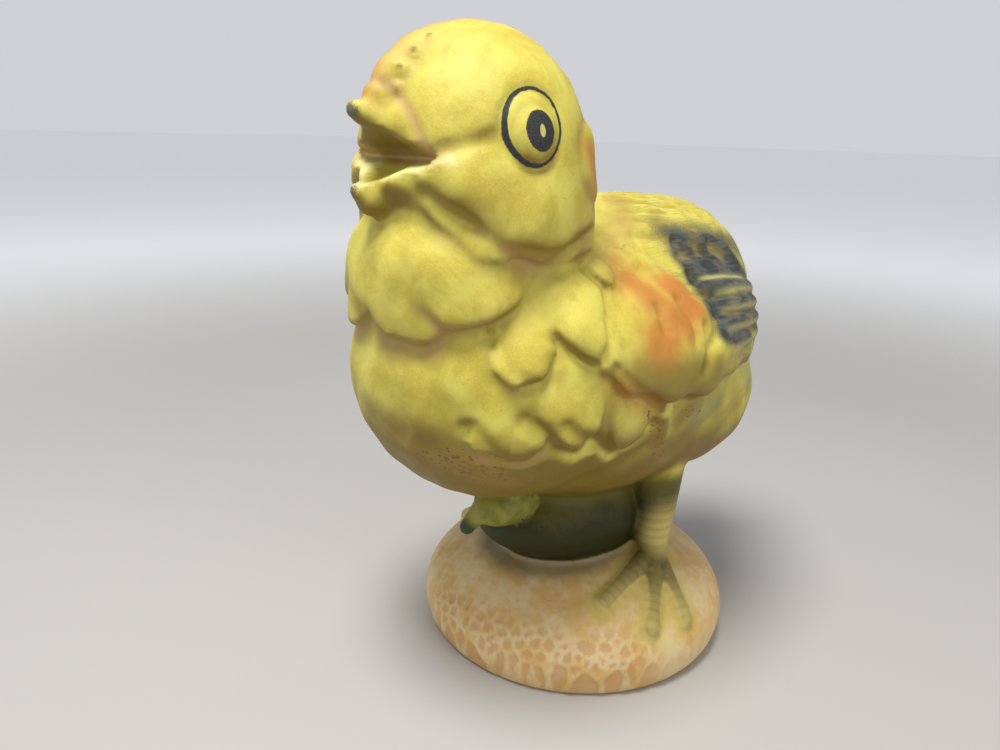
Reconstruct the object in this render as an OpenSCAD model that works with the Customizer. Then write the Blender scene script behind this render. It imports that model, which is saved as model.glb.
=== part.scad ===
// Hollow rubber squeeze chick: one moulded skin standing on a mound, with a
// rubber plug in its foot that holds a metal reed whistle. Squeezing the skin
// drives air past the reed and out through the hole in the whistle's cup.
// Frame: +Z up, origin on the table under the middle of the toy, the chick
// faces -Y and its left side is +X. Millimetres.

/* [Skin] */
// Height of the toy from the table to the crown
toy_height = 165; // [150:5:200]
// Thickness of the rubber wall
wall = 2.4; // [1.6:0.2:3]
// Thickness of the floor of the moulding around the plug
floor_t = 3.5; // [3:0.5:5]
// Height of the shallow recess under the foot
recess_h = 2.5; // [2:0.5:3]
// Radius of the shallow recess under the foot
recess_r = 28; // [24:1:32]

/* [Plug] */
// Radius of the hole in the floor that the plug's neck fills
plug_neck_r = 15; // [13:0.5:17]
// Radius of the plug's two flanges
plug_flange_r = 18.5; // [18:0.5:21]
// Thickness of each flange of the plug
plug_flange_t = 1.6; // [1.2:0.2:2]

/* [Whistle] */
// Outer radius of the whistle's cup
cup_r = 9; // [8:0.5:10]
// Thickness of the cup's drawn metal
cup_t = 0.4; // [0.3:0.1:0.5]
// Radius of the rim that keeps the cup from being pushed in
cup_rim_r = 10.8; // [10.5:0.1:11.5]
// Radius of the air hole in the cup's face
air_hole_r = 1.6; // [1:0.2:2.4]
// Height of the ring that holds the reed plate off the cup's face
spacer_h = 2.6; // [2:0.2:3.2]
// Thickness of the reed plate
plate_t = 0.8; // [0.6:0.1:1.2]
// Free length of the reed, from its root to its tip
reed_l = 10; // [8:0.5:11]
// Width of the reed
reed_w = 3; // [2.4:0.2:3.6]
// Thickness of the reed
reed_t = 0.2; // [0.15:0.05:0.3]
// Height of the cap over the reed
cap_h = 4.4; // [4:0.2:6]

/* [Hidden] */

k = toy_height / 165;       // the skin's shape is laid out at 165 mm and scaled
sides = 40;                 // points around each ring of the skin
body_rings = 38;            // rings up the body, from the foot to the back
head_rings = 24;            // rings up the head, from the throat to the crown
blend = 12;                 // power of the soft maximum that joins the masses
eps = 0.01;
slip = 0.1;                 // air left around pieces that only drop into place
swing_gap = 0.1;            // air around the reed's root, so that it can swing

// Heights, from the table up
floor_z = recess_h + floor_t;
plug_z = recess_h - plug_flange_t;
cup_z = plug_z - cup_t;
spacer_z = plug_z;
plate_z = spacer_z + spacer_h;
reed_z = plate_z + plate_t + swing_gap;
cap_z = plate_z + plate_t;
cap_top = cap_z + cap_h;
curl_t = 0.4;               // the cup's edge, curled in over the cap
inner_r = cup_r - cup_t;    // inside radius of the cup
reed_root = -reed_l / 2;    // where the reed is riveted, along Y
slot_w = reed_w + 0.3;      // the slot that the reed swings through
slot_l = reed_l - 0.9;
rivet_r = 0.7;
rivet_head_r = 1.3;
rivet_head_h = 0.5;

// The masses that the skin is blended from: centre and half sizes
HEAD = [
    [[0, -38.5, 135.5], [27, 26, 29.5]],    // head
    [[0, -42, 107], [26, 26, 24]]           // throat
];
FACE = [
    [[0, -57.5, 144.3], [8, 13.5, 5.5]],    // upper half of the beak
    [[0, -55, 129], [8, 15.4, 5.5]],        // lower half of the beak
    [[0, -54, 151], [6, 11.5, 11]]          // crest over the beak
];
CHEEKS = [[[15, -34, 122], [14, 17, 15]]];
BODY = [
    [[0, -28, 84], [38.5, 40.6, 38]],       // breast
    [[0, 6, 83], [38, 46, 37]],             // trunk
    [[0, 6, 103], [25, 28, 20]],            // shoulders
    [[0, 28, 93], [28, 34, 33]],            // rump
    [[0, 0, 61], [30, 35, 21.5]],           // belly
    [[0, -3, 34], [25, 26, 25]],            // undergrowth between the legs
    [[0, 3, 7], [45.6, 45.6, 23.5]]         // mound
];
LEGS = [
    [[17, 26, 70], [16, 28, 22]],           // thigh
    [[24, 13, 38], [7, 7.5, 18]]            // shank
];
TRIM = [
    [[0, 52, 100], [14, 18.4, 8.5]],        // tail
    [[4, -32, 45], [8, 13, 7]]              // leaf under the breast
];
WINGS = [[[28, 18, 95], [11, 33, 17]]];
// Height against the Y of the point that each ring is drawn around
BODY_SPINE = [[0, 2], [45, 0], [80, 0], [112, 6], [120, 18], [126, 28]];
HEAD_SPINE = [[82, -42], [165, -37]];
back_z = 126;               // top of the rump
throat_z = 83;              // where the throat starts, inside the breast
crown_z = 165;

function both(list) = concat(list, [for (m = list) [[-m[0].x, m[0].y, m[0].z], m[1]]]);

// How far the ellipsoid m, grown by g, reaches from p along the direction d,
// in the level plane at height z
function reach(m, g, z, p, d) =
    let (u = (z - m[0].z) / (m[1].z + g), s = sqrt(max(0, 1 - u * u)))
    s < 0.02 ? 0 :
    let (a = (m[1].x + g) * s, b = (m[1].y + g) * s,
         q = [(p.x - m[0].x) / a, (p.y - m[0].y) / b], e = [d.x / a, d.y / b],
         h = (q * e) * (q * e) - (e * e) * (q * q - 1))
    h < 0 ? 0 : max(0, (-(q * e) + sqrt(h)) / (e * e));

// Distance from p to the blended surface along d, as a soft maximum of the reaches
function skin_r(masses, g, z, p, d) =
    let (t = [for (m = masses) reach(m, g, z, p, d)], big = max(t))
    big <= 0 ? 0.3 : big * pow([for (v = t) pow(v / big, blend)] * [for (v = t) 1], 1 / blend);

function ring(masses, g, z, spine) =
    let (p = [0, lookup(z, spine)])
    [for (i = [0 : sides - 1])
        let (d = [sin(i * 360 / sides), -cos(i * 360 / sides)], r = skin_r(masses, g, z, p, d))
        [p.x + r * d.x, p.y + r * d.y, z]];

function strip(i) =
    [for (j = [0 : sides - 1], f = [0, 1])
        let (a = i * sides + j, b = i * sides + (j + 1) % sides)
        f == 0 ? [a, b + sides, b] : [a, a + sides, b + sides]];

// A closed solid through rings from z0 up to z1, flat below and closed to a point above
module blended(masses, g, z0, z1, rings, spine) {
    pts = [for (i = [0 : rings - 1])
        each ring(masses, g, z0 + (z1 - z0) * sin(90 * i / rings), spine)];
    tip = [0, lookup(z1, spine), z1];
    last = (rings - 1) * sides;
    walls = [for (i = [0 : rings - 2]) each strip(i)];
    top = [for (j = [0 : sides - 1]) [last + j, rings * sides, last + (j + 1) % sides]];
    polyhedron(concat(pts, [tip]), concat(walls, top, [[for (j = [0 : sides - 1]) j]]));
}

// The outside of the skin, with the beak, tail, wings and leaf
module outside() scale(k) {
    blended(concat(BODY, both(LEGS), TRIM, both(WINGS)), 0, 0, back_z, body_rings, BODY_SPINE);
    blended(concat(HEAD, both(CHEEKS), FACE), 0, throat_z, crown_z, head_rings, HEAD_SPINE);
}

// The hollow, which leaves the beak, tail, wings and leaf solid
module hollow(g) scale(k) {
    blended(concat(BODY, both(LEGS)), g, floor_z / k, back_z + g, body_rings - 8, BODY_SPINE);
    blended(concat(HEAD, both(CHEEKS)), g, throat_z - g, crown_z + g, head_rings - 2, HEAD_SPINE);
}

module disc(r, t, z) translate([0, 0, z]) cylinder(r = r, h = t, $fn = 96);

module washer(r_out, r_in, t, z) difference() {
    disc(r_out, t, z);
    disc(r_in, t + 2, z - 1);
}

module body_skin() color("khaki") difference() {
    outside();
    hollow(-wall / k);
    disc(recess_r, recess_h + 1, -1);
    disc(plug_neck_r, floor_z + 1, 0);
}

module sole_plug() color("dimgray") difference() {
    union() {
        disc(plug_flange_r, plug_flange_t, plug_z);
        disc(plug_neck_r, floor_t + 2 * eps, recess_h - eps);
        disc(plug_flange_r, plug_flange_t, floor_z);
    }
    disc(cup_r, 20, -1);
}

module whistle_cup() color("silver") {
    difference() {
        union() {
            disc(cup_rim_r, cup_t, cup_z);
            disc(cup_r, cap_top + curl_t - cup_z, cup_z);
        }
        disc(inner_r, cap_top - plug_z, plug_z);
        disc(inner_r - 1, 5, cap_top - eps);
        disc(air_hole_r, 5, cup_z - 1);
    }
}

module spacer_ring() color("lightgray") washer(inner_r - slip, inner_r - 1.2, spacer_h, spacer_z);

module reed_plate() color("goldenrod") difference() {
    disc(inner_r - slip, plate_t, plate_z);
    translate([-slot_w / 2, reed_root + 1.3, plate_z - 1]) cube([slot_w, slot_l, plate_t + 2]);
    translate([0, reed_root, plate_z - 1]) cylinder(r = rivet_r, h = plate_t + 2, $fn = 48);
}

module reed() color("peru") difference() {
    translate([-reed_w / 2, reed_root - 1.5, reed_z]) cube([reed_w, reed_l + 1.5, reed_t]);
    translate([0, reed_root, reed_z - 1]) cylinder(r = rivet_r + 0.1, h = reed_t + 2, $fn = 48);
}

module reed_rivet() color("gold") translate([0, reed_root, 0]) {
    disc(rivet_r, reed_z + reed_t + swing_gap - plate_z + eps, plate_z);
    translate([0, 0, reed_z + reed_t + swing_gap]) rotate_extrude($fn = 48)
        intersection() {
            translate([0, -rivet_head_r * 1.2]) circle(r = rivet_head_r * 1.2 + rivet_head_h, $fn = 64);
            square([rivet_head_r, rivet_head_h]);
        }
}

module whistle_cap() color("gainsboro") difference() {
    disc(inner_r - slip, cap_h, cap_z);
    disc(inner_r - slip - cup_t, cap_h - cup_t, cap_z - eps);
    for (a = [30 : 120 : 270]) rotate(a) translate([4.6, 0, cap_z]) cylinder(r = 1.1, h = cap_h + 1, $fn = 32);
}

body_skin();
sole_plug();
whistle_cup();
spacer_ring();
reed_plate();
reed();
reed_rivet();
whistle_cap();
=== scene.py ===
# %% [markdown]
# # A rubber squeeze chick
#
# The toy is one hollow rubber moulding of a chick on a mound, sprayed through masks in a few
# colours, with a rubber plug in its foot that holds a small metal reed whistle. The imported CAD
# model gives the frame: sizes, places and the whistle's pieces. This script makes the skin that
# people see, and the finish of every piece.
#
# Soft moulded rubber has no edges that a grid of two parameters could follow: tufts, beak, wings,
# legs and mound all melt into each other. So the skin is sculpted as a distance function, which
# blends any number of rounded masses, and a mesh is then drawn over the place where it is zero.

# %% Load the frame
import time

import bpy
import numpy as np
from mathutils import Matrix, Vector


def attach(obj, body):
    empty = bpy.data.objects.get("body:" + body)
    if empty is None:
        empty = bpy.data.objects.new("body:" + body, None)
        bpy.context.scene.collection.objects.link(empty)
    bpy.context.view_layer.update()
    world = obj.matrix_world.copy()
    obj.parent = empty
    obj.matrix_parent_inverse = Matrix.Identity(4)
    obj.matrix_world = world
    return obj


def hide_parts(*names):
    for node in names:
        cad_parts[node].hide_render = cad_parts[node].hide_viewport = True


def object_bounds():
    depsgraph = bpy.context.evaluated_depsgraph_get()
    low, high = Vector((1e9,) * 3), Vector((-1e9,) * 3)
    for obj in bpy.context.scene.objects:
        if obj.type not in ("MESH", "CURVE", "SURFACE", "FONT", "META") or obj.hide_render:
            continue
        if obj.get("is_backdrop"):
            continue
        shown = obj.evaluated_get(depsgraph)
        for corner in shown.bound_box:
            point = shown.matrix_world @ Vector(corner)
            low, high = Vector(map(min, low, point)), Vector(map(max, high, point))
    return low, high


START = time.time()
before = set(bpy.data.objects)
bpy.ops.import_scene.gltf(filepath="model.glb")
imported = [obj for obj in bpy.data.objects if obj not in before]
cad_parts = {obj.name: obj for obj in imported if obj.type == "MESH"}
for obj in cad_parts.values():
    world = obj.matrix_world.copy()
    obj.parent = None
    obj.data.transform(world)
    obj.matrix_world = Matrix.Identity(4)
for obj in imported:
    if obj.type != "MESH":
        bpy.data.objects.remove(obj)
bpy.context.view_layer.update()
MM = 0.001
F32 = np.float32

# %% [markdown]
# ## Distances
#
# Every shape below is a function that takes points, as rows of X, Y, Z in millimetres, and gives
# how far each is from a surface: negative inside, zero on it. Joining two shapes is then a minimum,
# and a *smooth* minimum rounds the crease between them, as rubber does.

# %% Shapes as distances
def vec(*a):
    return np.array(a, F32)


def turn_x(degrees):
    """A rotation about X, as a matrix."""
    c, s = np.cos(np.radians(degrees)), np.sin(np.radians(degrees))
    return np.array([[1, 0, 0], [0, c, -s], [0, s, c]]).astype(F32)


def oval(q, r):
    """Distance to an ellipsoid of half sizes r about the origin: with k0 the length of q / r and
    k1 the length of q / r squared, it is close to k0 (k0 - 1) / k1."""
    k0 = np.sqrt(((q / r) ** 2).sum(1))
    k1 = np.sqrt(((q / (r * r)) ** 2).sum(1))
    return k0 * (k0 - 1) / np.maximum(k1, 1e-6)


def mass(p, centre, half, turned=None):
    """Distance to an ellipsoid at a centre, with its half sizes along its own turned axes."""
    q = p - vec(*centre)
    if turned is not None:
        q = q @ turned
    return oval(q, vec(*half))


def taper(p, a, b, ra, rb):
    """Distance to a round bar from a to b whose radius runs from ra to rb."""
    a, b = vec(*a), vec(*b)
    d = b - a
    t = np.clip(((p - a) @ d) / max(d @ d, 1e-6), 0, 1)
    return np.linalg.norm(p - a - t[:, None] * d, axis=1) - (ra + (rb - ra) * t)


def join(a, b, k):
    """Smooth minimum: the smaller distance, rounded over a width k where the two are close."""
    h = np.clip(0.5 + 0.5 * (b - a) / k, 0, 1)
    return b + (a - b) * h - k * h * (1 - h)


def cut(a, b, k):
    """Smooth maximum, which takes away the outside of b."""
    return -join(-a, -b, k)


def to_line(p, points):
    """Distance from each point to a chain of straight stretches."""
    best = np.full(len(p), 1e3, F32)
    for a, b in zip(points[:-1], points[1:]):
        best = np.minimum(best, taper(p, a, b, 0, 0))
    return best


def ramp(x, a, b):
    """A smooth step from 0 at a to 1 at b."""
    t = np.clip((x - a) / (b - a), 0, 1)
    return t * t * (3 - 2 * t)


def both_sides(p):
    """The points with X made positive, so that what is made on the left is on the right too."""
    m = p.copy()
    m[:, 0] = np.abs(m[:, 0])
    return m

# %% [markdown]
# ## The masses of the bird
#
# A sculptor starts with big lumps: head, cheeks, throat, breast, trunk, shoulders, rump, tail,
# belly, thighs, the undergrowth between the legs, and the mound it all stands on. Half sizes and
# places are the CAD skin's own, a little smaller, so that the tufts still fit inside its box.

# %% Big masses
MOUND = ((0, 3, 7), (45.3, 45.3, 23))


def mound(p):
    return cut(mass(p, *MOUND), -p[:, 2], 1.0)


def masses(p):
    """The smooth body under the tufts: smooth minimums of ellipsoids."""
    m = both_sides(p)
    d = join(mass(p, (0, 6, 83), (37, 45, 36)), mass(p, (0, -28, 85.5), (37.3, 39, 35.5)), 10)
    d = join(d, mass(p, (0, 28, 93), (27, 34, 32)), 9)
    d = join(d, mass(p, (0, 6, 105), (24, 27, 21)), 8)
    d = join(d, mass(p, (0, 1, 63), (29, 32, 20)), 8)
    d = join(d, mass(m, (17, 26, 70), (16, 27, 21)), 6)
    d = join(d, mass(p, (0, 52, 99), (12, 18, 8), turn_x(6)), 5)
    d = join(d, mass(p, (0, -42.5, 110), (25, 24, 24)), 6)
    head = mass(p, (0, -38.5, 135.5), (26.8, 26, 28.8))
    head = join(head, mass(m, (15, -34, 122), (13, 16.5, 14.5)), 6)
    d = join(d, head, 2.0)
    d = join(d, mass(p, (0, -4, 38), (22, 27.5, 14)), 4.0)
    d = join(d, mass(p, (0, 0, 34), (20, 22, 20)), 3.0)
    return join(d, mound(p), 3)


def slope(f, c, e=0.5):
    """The unit direction in which the distance f grows fastest at the point c."""
    c = vec(*c)
    step = e * np.eye(3, dtype=F32)
    g = f(c + step) - f(c - step)
    return g / np.linalg.norm(g)

# %% [markdown]
# ## Tufts
#
# The down is moulded as overlapping rounded tufts. Each one is an oval pad laid on the body: its
# middle is pulled onto the surface of the big masses, it is bent to their roundness, and `lift`
# tips its lower edge out, like a roof tile, so that it throws a soft crease on the tuft below.

# %% Pads that lie on the body
FAR = 50.0      # stands for any distance that no longer matters


class Pad:
    """An oval pad at a place on the body. across and up are its half sizes, tilt turns it in the
    surface (degrees, rear end up), rise is how far its middle stands out and lift tips its lower
    edge out (degrees). Its thickness is measured along the distance d to the big masses, so the
    pad bends with the body however round the body is. Its outline sways by a sine of the place
    along it, because no tuft is a true oval."""

    def __init__(self, place, across, up, tilt, rise, lift=0.0):
        c = vec(*place)
        for _ in range(12):
            c = c - 0.9 * slope(masses, c) * float(masses(c[None])[0])
        self.c, self.n = c, slope(masses, c)
        level = np.cross(vec(0, 0, 1), self.n)
        level /= np.linalg.norm(level)
        rising = np.cross(self.n, level)
        t = np.radians(tilt)
        self.u = level * np.cos(t) + rising * np.sin(t)
        self.v = -level * np.sin(t) + rising * np.cos(t)
        self.size = vec(across, up, rise)
        self.lift = np.tan(np.radians(lift))
        self.sway = min(0.7, 0.06 * min(across, up))

    def local(self, p):
        q = p - self.c
        return q @ self.u, q @ self.v, q @ self.n

    def __call__(self, p, d):
        out = np.full(len(p), FAR, F32)
        near = np.flatnonzero(((p - self.c) ** 2).sum(1) < (self.size.max() + 8) ** 2)
        x, y, z = self.local(p[near])
        x, y = (x + self.sway * np.sin(0.52 * y + self.c[2]),
                y + self.sway * np.sin(0.44 * x + self.c[1]))
        far_side = np.maximum(0, -z - 6 - (x * x + y * y) / 40)
        h = d[near] + y * self.lift
        out[near] = oval(np.stack([x, y, np.where(h < 0, 0.1 * h, h) + far_side], 1), self.size)
        return out


def pads(rows):
    return [Pad(*row) for row in rows]


def heap(p, d, group, k):
    h = group[0](p, d)
    for pad in group[1:]:
        h = join(h, pad(p, d), k)
    return h


# place, half width, half height, tilt, rise, lift
bib = pads([((10, -64, 112), 13, 15, 0, 1.4, 6),
            ((22, -54, 114), 10.5, 12, -12, 2.0, 8)])
tufts = pads([((30.5, -47, 97), 7.5, 8, 0, 1.6, 11),
              ((32, -32.5, 104), 8, 13.5, 12, 2.3, 9),
              ((24.5, -21.5, 112.5), 3.8, 6.5, 14, 1.5, 6),
              ((36, -37, 84), 8.5, 9.5, -6, 1.4, 13),
              ((30, -50, 79), 10, 8, 0, 1.2, 12),
              ((36, -17, 78), 8.5, 9, -20, 1.2, 12)])
cheek = Pad((20, -47, 127.5), 18.5, 11, -24, 2.8, 9)
ear = Pad((22, -22, 135.5), 5.5, 6.5, 0, 1.2)
wing = Pad((37, -2, 96), 30, 15.5, -4, 3.6, 13)
shoulder = Pad((38, -8, 98), 17.5, 15.5, 35, 4.6, 10)
flight = Pad((35, 22, 95), 27, 12.5, -2, 3.4, 6)
feathers = pads([((33, 27, 105), 19, 3.3, -7, 3.6, 16),
                 ((34, 27, 100.5), 21.5, 3.3, -6, 4.2, 16),
                 ((35, 27, 96), 22.5, 3.3, -5, 4.4, 16),
                 ((36, 26, 91.5), 21.5, 3.3, -3, 4.2, 16),
                 ((36, 21, 86.5), 20, 3.3, 3, 3.6, 16)])
socket = Pad((26, -43, 142), 7.6, 8.6, -6, 1)
eyeball = Pad((26.0, -42.6, 141.2), 4.9, 5.6, -6, 1.1)
print("pads:", len(bib + tufts + feathers) + 6)

# %% [markdown]
# ## Beak, crest, legs and leaf
#
# The beak is two tapered bars, with a wedge taken out between them for the open mouth. The crest is
# a low bar over the forehead with small knobs beside it. Legs and toes are tapered bars too, and
# everything is joined with a smooth minimum narrow enough to leave a crease.

# %% Beak and mouth
MOUTH_CORNER = (-57.5, 135.4)     # Y and Z of the line where the halves of the beak meet
PALATE_EDGE = (-71, 143.2)
TONGUE_EDGE = (-70, 129.6)


def beyond(p, far, side):
    """Signed distance to the level plane through the corner of the mouth and the edge `far`."""
    dy, dz = far[0] - MOUTH_CORNER[0], far[1] - MOUTH_CORNER[1]
    long = np.hypot(dy, dz)
    return side * ((p[:, 2] - MOUTH_CORNER[1]) * dy - (p[:, 1] - MOUTH_CORNER[0]) * dz) / long


def add_beak(p, d):
    upper = join(mass(p, (0, -54, 142.0), (12.6, 11.8, 7.4)),
                 taper(p, (0, -60, 142.2), (0, -69.0, 144.8), 6.2, 1.9), 1.5)
    lower = join(mass(p, (0, -54, 130.6), (12.8, 12.4, 6.8)),
                 taper(p, (0, -60, 129.0), (0, -68.6, 128.6), 5.8, 1.8), 1.5)
    lower = join(lower, taper(p, (0, -57, 126), (0, -65.6, 126.4), 5.5, 3.4), 2.0)
    d = join(join(d, upper, 1.6), lower, 1.6)
    hollow = np.maximum(0, 1.2 - (p[:, 0] / 7) ** 2) * np.clip((p[:, 1] + 70) / 6, 0, 1)
    hollow = 1.2 * hollow
    gape = cut(beyond(p, PALATE_EDGE, -1) - hollow, beyond(p, TONGUE_EDGE, 1) - hollow, 1.0)
    gape = cut(gape, np.abs(p[:, 0]) - 15, 3)
    return cut(d, -gape, 0.35)

# %% Crest, legs, toes and leaf
CREST = [(0, -62.6, 147.6), (0, -59.6, 152), (0, -54.8, 155.6), (0, -48.5, 158.4), (0, -38, 159.4)]
CREST_KNOBS = [(4.2, -62.4, 149.0), (3.7, -60.2, 152.8), (3.6, -56.8, 156.2),
               (3.3, -52.6, 158.8), (2.8, -47.6, 160.6)]
ANKLE = (25.3, 9.5, 26.5)
TOE_TIPS = [(29.3, -14.5, 21.8), (39.8, -7.5, 16.5), (41.5, 4.5, 15.5)]


def crest(p, m):
    d = to_line(p, CREST) - 4.1
    for knob in CREST_KNOBS:
        d = join(d, mass(m, knob, (1.3, 1.3, 1.3)), 1.0)
    return d


def legs(m):
    d = taper(m, (20, 15, 56), (23, 11.5, 27), 8.0, 4.6)
    for tip in TOE_TIPS:
        d = join(d, taper(m, ANKLE, tip, 3.6, 2.4), 1.2)
    return d


def leaf(p):
    blade = taper(p, (5.5, -36, 49), (3.2, -41.0, 41.8), 2.8, 2.0)
    return join(mass(p, (7, -31, 47), (5.5, 9.5, 5.5)), blade, 2.0)

# %% [markdown]
# ## Folds, ledges and furrows
#
# A line is pressed into rubber by adding deep * exp(-(s / width)^2) to the distance, where s is the
# distance to a chain of points, and raised by taking it away. A groove just below a tuft, with the
# surface below it raised a little, makes a ledge of the tuft's foot. The ripples are a sum of four
# sines, up to a third of a millimetre high, because nothing sculpted by hand is quite smooth.

# %% The whole skin as one distance
FURROWS = [[(5, -12, 126), (6, 20, 126), (3, 55, 108)],
           [(9, 0, 125), (11, 22, 122), (7, 48, 111)],
           [(12, -10, 123), (14, 15, 121), (9, 50, 107)],
           [(16, 2, 120), (18, 22, 117), (13, 46, 106)],
           [(19, -8, 118), (21, 10, 115), (16, 42, 105)],
           [(25, 8, 112), (22, 22, 111), (20, 34, 106)],
           [(13, 24, 119), (10, 38, 114)]]
MOUTH_LINE = [(13, -61.5, 135.2), (16, -59, 137), (20, -56, 138.3), (23, -51, 140)]
CHEEK_LINE = [(14, -61, 128.5), (19.3, -57, 124.4), (26, -46.4, 116.6),
              (27.3, -35.5, 116.4), (25.9, -24.1, 119.8)]
FOLDS = [[(35.4, -9.6, 102.6), (38.7, -10.3, 97.9)],
         [(34.9, -1.6, 103.4), (38, 0, 98.8), (39.8, -0.7, 94.3)],
         [(38.7, 4.3, 97.2), (40.5, 5, 91), (41.3, 1.6, 86.7)]]
WING_EDGES = [[(27.7, 10.1, 108), (34.5, 12.5, 101.7), (38.7, 9.4, 95.2), (41.3, 2.3, 88.5)],
              [(25.3, -25.7, 111.7), (28.9, -21.6, 107.7), (36.1, -27.6, 101.6),
               (39.1, -30.6, 94.6), (40.6, -21.8, 86.4), (37.6, -7.2, 76.6)]]
LEDGES = [[(25, -52, 101), (28.7, -51.6, 97.3), (32, -50.3, 93.6), (34, -47.9, 91.7),
           (35.1, -44.4, 92.1), (33.8, -42, 97)],
          [(32.7, -40, 100.4), (36.6, -37.1, 96.8), (38.6, -33.6, 94.7), (38.6, -30.4, 96.7)],
          [(32.3, -48, 83.2), (34.7, -44.8, 80.7), (36.5, -40.9, 76.2), (34.5, -33.1, 72.7),
           (35.6, -29.1, 74.7)],
          [(25.1, -57, 81.3), (27.9, -54.2, 75.7), (30.5, -50.1, 73), (32.9, -46, 73.7),
           (33.8, -44.3, 75.3)],
          [(35.4, -27.1, 74.2), (33, -18.9, 68.6), (35.9, -17.1, 69.7), (35.8, -12, 71.7),
           (36.1, -9.5, 75)],
          [(37.3, -39.9, 81.3), (38.2, -36.1, 78.1), (36, -29.1, 76.2)]]
LEDGE_DROPS = vec(-0.4, 0, -1.5), vec(-1.2, 0, -4.6)
RIPPLES = np.array([(0.42, 0.13, 0.31), (-0.21, 0.47, 0.26),
                    (0.18, -0.33, 0.52), (0.61, 0.42, -0.24)], F32)
RIPPLE_STARTS, RIPPLE_HEIGHT = vec(0.4, 1.7, 2.9, 4.1), 0.085
BEAK_ROOT = [(0, -65.5, 151), (4.5, -63.2, 149), (8.7, -62, 144.6), (12, -61.6, 140),
             (13, -60.5, 136.5)]
FLANK = [(37.4, -28, 93), (37.6, -19, 87.5), (37.0, -11, 81), (35.2, -5, 75), (32.5, -2, 68)]
HOLLOWS = [[(22.5, 11, 115), (27, 22, 109)], [(22, 19, 114), (25.5, 29, 109)],
           [(21, 27, 112.5), (24, 35, 108)]]


def groove(m, line, width, deep, squash=1.0):
    """deep * exp(-(distance to the line / width)^2). squash shrinks X first, so that a line whose
    X is only roughly known still reaches the surface."""
    s = vec(squash, 1, 1)
    return deep * np.exp(-(to_line(m * s, [vec(*q) * s for q in line]) / width) ** 2)


def detail(p, d):
    """Adds every tuft, wing, beak, leg and groove to the distance d of the big masses."""
    m = both_sides(p)
    flat = d
    d = join(d, heap(m, flat, bib, 4.0), 1.6)
    for tuft in tufts:
        d = join(d, tuft(m, flat), 1.2)
    d = join(d, cheek(m, flat), 1.4)
    d = join(d, ear(m, flat), 3)
    d = join(d, to_line(m, FLANK) - 1.6, 2.5)
    d = join(d, join(wing(m, flat), flight(m, flat), 2.0), 0.8)
    d = join(d, heap(m, flat, feathers, 0.4), 0.6)
    d = join(d, shoulder(m, flat), 1.0)
    d = join(d, crest(p, m), 3)
    d = add_beak(p, d)
    x, y, z = socket.local(m)
    r = np.hypot(x / socket.size[0], y / socket.size[1])
    d = d + 0.9 * np.exp(-((r - 0.93) * 7) ** 2) * (np.abs(z) < 6)
    d = join(d, eyeball(m, flat), 0.8)
    for line in FURROWS:
        d = d + groove(m, line, 1.2, 0.7)
    d = d + groove(m, MOUTH_LINE, 1.5, 0.9) + groove(m, CHEEK_LINE, 1.7, 1.5)
    for line in FOLDS:
        d = d + groove(m, line, 1.3, 1.3, 0.35)
    for line in WING_EDGES:
        d = d + groove(m, line, 1.1, 1.0, 0.35)
    for line in LEDGES:
        foot, below = [[vec(*q) + drop for q in line] for drop in LEDGE_DROPS]
        d = d + groove(m, foot, 1.7, 1.4, 0.5) - groove(m, below, 2.2, 0.35, 0.5)
    d = d + groove(m, BEAK_ROOT, 1.1, 0.7)
    ripples = np.sin(p @ RIPPLES.T + RIPPLE_STARTS).sum(1)
    d = d + RIPPLE_HEIGHT * ramp(p[:, 2], 30, 60) * ripples
    for line in HOLLOWS:
        d = d + groove(m, line, 1.8, 1.5)
    d = join(d, legs(m), 1.5)
    return join(d, leaf(p), 0.6)


def skin(p):
    return detail(p, masses(p))

# %% [markdown]
# ## From a distance to a mesh
#
# The distance is sampled on a grid of cubes. Each cube that the surface passes through gets one
# vertex, at the mean of the places where its edges are crossed, and each crossed grid edge gets a
# quad between the four cubes around it. That is a surface net: even quads, whatever the shape. Each
# vertex is then moved along the slope of the distance until it lies on the surface itself.

# %% Surface nets
def sampled(f, lo, hi, h):
    n = np.ceil((hi - lo) / h).astype(int) + 1
    axes = [lo[i] + h * np.arange(n[i], dtype=F32) for i in range(3)]
    v = np.empty(n, F32)
    for i in range(0, n[0], 8):
        g = np.stack(np.meshgrid(axes[0][i:i + 8], axes[1], axes[2], indexing="ij"), -1)
        v[i:i + 8] = f(g.reshape(-1, 3)).reshape(g.shape[:3])
    return v


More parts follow.
